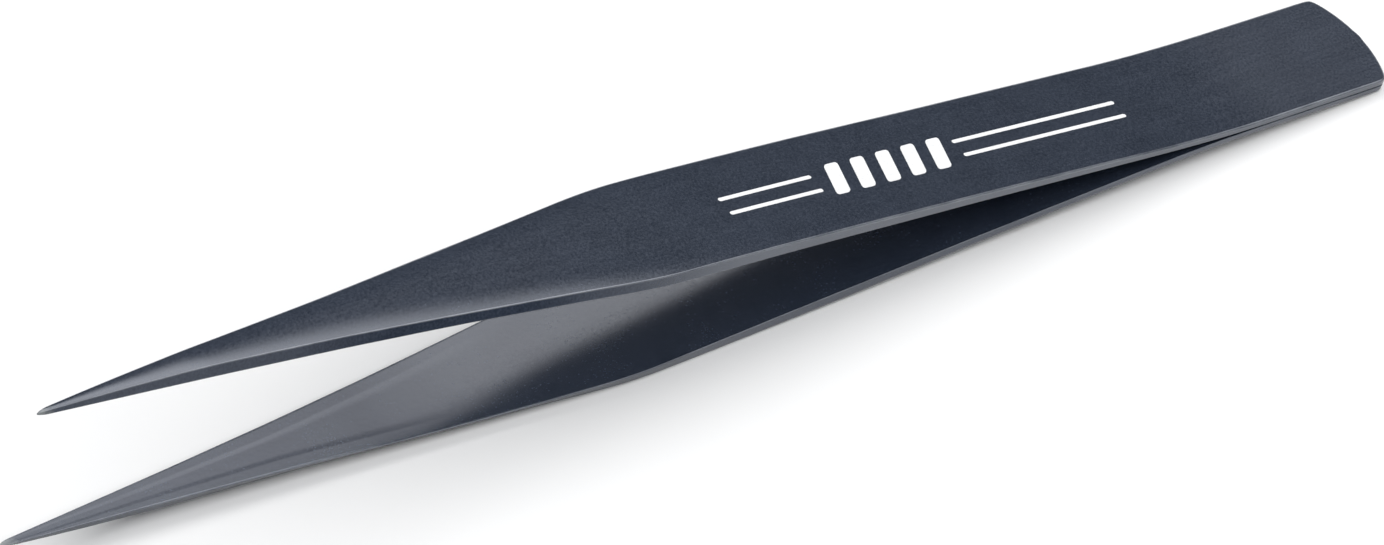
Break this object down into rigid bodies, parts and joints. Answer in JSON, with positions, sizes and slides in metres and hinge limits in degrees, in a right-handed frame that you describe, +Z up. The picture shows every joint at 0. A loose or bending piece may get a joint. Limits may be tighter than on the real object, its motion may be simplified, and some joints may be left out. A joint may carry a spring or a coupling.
{
  "type": "precision tweezers",
  "caption": "Straight precision tweezers: blackened spring-steel blades welded at a round heel, opening to slender faceted points.",
  "frame": {"origin": "on the table, centred under the length and the width of the tweezers as they lie at rest", "axes": "+X from the heel towards the points, +Y across the blades, +Z up; the tweezers lie on the heel's end and the belly of the lower blade, so the plane between the blades rises 3.8 degrees towards the points"},
  "size_m": [0.1251, 0.01, 0.0154],
  "materials": {
    "blackened_steel": "satin blue-black coating over ground spring steel",
    "weld_steel": "fused spot-weld nugget",
    "white_print": "thin screen-printed enamel mark"
  },
  "bodies": {
    "heel": {"upper_blade_heel": "blackened_steel", "lower_blade_heel": "blackened_steel", "spot_weld_rear": "weld_steel", "spot_weld_front": "weld_steel"},
    "upper_arm": {"upper_blade_grip": "blackened_steel", "upper_blade_point": "blackened_steel"},
    "lower_arm": {"lower_blade_grip": "blackened_steel", "lower_blade_point": "blackened_steel"}
  },
  "joints": [
    {"name": "upper_arm_flex", "type": "hinge", "parent": "heel", "child": "upper_arm", "pos_m": [-0.0337, 0, 0.00371], "axis": [0, 1, 0], "range_deg": [0, 3.77], "stiffness_Nm_per_rad": 1.1},
    {"name": "lower_arm_flex", "type": "hinge", "parent": "heel", "child": "lower_arm", "pos_m": [-0.03354, 0, 0.0012], "axis": [0, -1, 0], "range_deg": [0, 3.77], "stiffness_Nm_per_rad": 1.1}
  ],
  "couplings": [
    {"joint": "lower_arm_flex", "follows": "upper_arm_flex", "ratio": 1}
  ]
}
